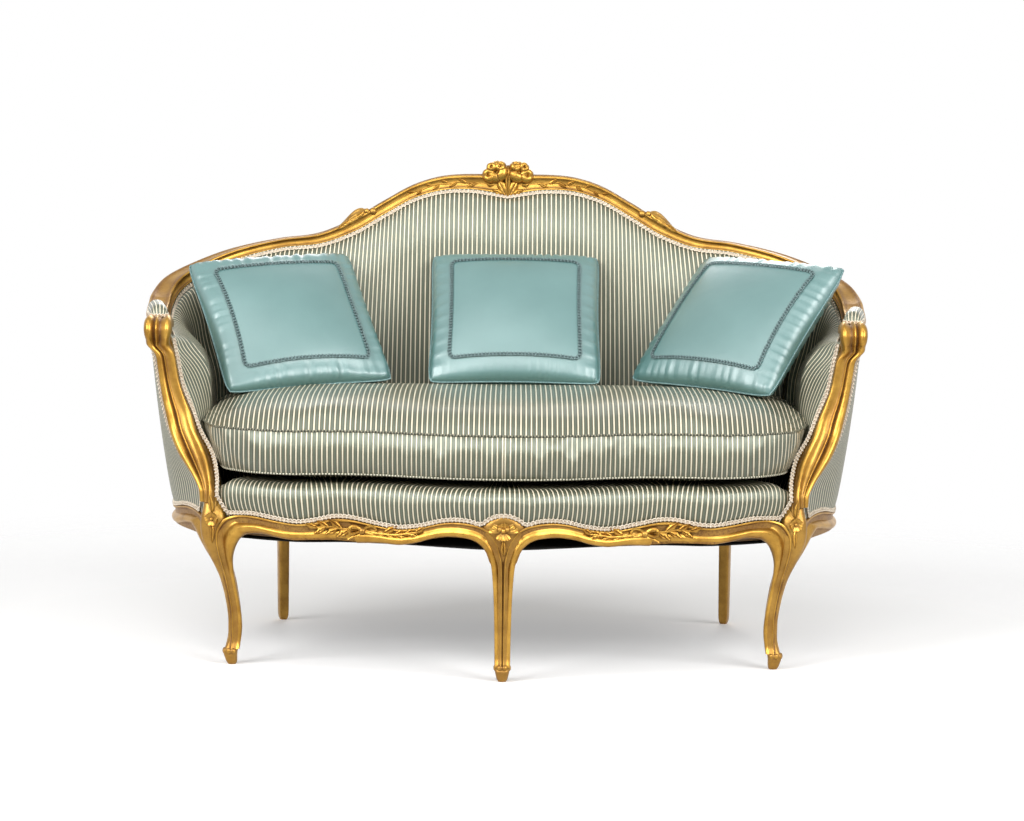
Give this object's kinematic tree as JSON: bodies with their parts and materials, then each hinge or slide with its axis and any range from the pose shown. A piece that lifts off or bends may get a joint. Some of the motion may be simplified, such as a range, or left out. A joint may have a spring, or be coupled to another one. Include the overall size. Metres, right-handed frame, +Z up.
{
  "type": "cabriole sofa",
  "caption": "Giltwood settee with a basket-shaped wrap-round back, cabriole legs, striped silk upholstery, a loose seat cushion and loose satin pillows.",
  "frame": {"origin": "on the floor, under the middle of the bounding box", "axes": "+X towards the settee's left arm as one sits in it, which is the right side of a front view, +Y towards the back, +Z up"},
  "size_m": [1.4528, 0.8064, 0.9803],
  "materials": {
    "gilt_wood": "water gilding over bole, burnished on the ridges, matt and brown in the hollows",
    "plain_wood": "bare beech",
    "webbing": "plain jute webbing",
    "striped_silk": "silk satin with narrow sage, cream-gold and dark green stripes",
    "pillow_satin": "glossy aqua satin with a braid of the same colour",
    "dust_cloth": "thin black cloth"
  },
  "bodies": {
    "frame": {"crest_rail": "gilt_wood", "left_arm_rail": "gilt_wood", "right_arm_rail": "gilt_wood", "left_arm_support": "gilt_wood", "right_arm_support": "gilt_wood", "front_left_leg": "gilt_wood", "front_right_leg": "gilt_wood", "front_centre_leg": "gilt_wood", "rear_left_leg": "gilt_wood", "rear_right_leg": "gilt_wood", "front_left_seat_rail": "gilt_wood", "front_right_seat_rail": "gilt_wood", "left_seat_rail": "gilt_wood", "right_seat_rail": "gilt_wood", "rear_seat_rail": "gilt_wood", "front_left_glue_block": "plain_wood", "front_right_glue_block": "plain_wood", "rear_left_glue_block": "plain_wood", "rear_right_glue_block": "plain_wood", "lower_back_rail": "plain_wood", "left_tack_rail": "plain_wood", "right_tack_rail": "plain_wood", "seat_webbing": "webbing", "seat_deck": "striped_silk", "inside_back": "striped_silk", "left_inside_arm": "striped_silk", "right_inside_arm": "striped_silk", "outside_back": "striped_silk", "left_outside_arm": "striped_silk", "right_outside_arm": "striped_silk", "left_manchette": "striped_silk", "right_manchette": "striped_silk", "dust_cover": "dust_cloth"},
    "seat_cushion": {"seat_cushion": "striped_silk"},
    "left_pillow": {"left_pillow": "pillow_satin"},
    "centre_pillow": {"centre_pillow": "pillow_satin"},
    "right_pillow": {"right_pillow": "pillow_satin"}
  },
  "joints": [
    {"name": "seat_cushion_lift", "type": "slide", "parent": "frame", "child": "seat_cushion", "axis": [0, 0, 1], "range_m": [0, 0.6]},
    {"name": "left_pillow_lift", "type": "slide", "parent": "seat_cushion", "child": "left_pillow", "axis": [0, 0, 1], "range_m": [0, 0.5]},
    {"name": "centre_pillow_lift", "type": "slide", "parent": "seat_cushion", "child": "centre_pillow", "axis": [0, 0, 1], "range_m": [0, 0.5]},
    {"name": "right_pillow_lift", "type": "slide", "parent": "seat_cushion", "child": "right_pillow", "axis": [0, 0, 1], "range_m": [0, 0.5]}
  ]
}
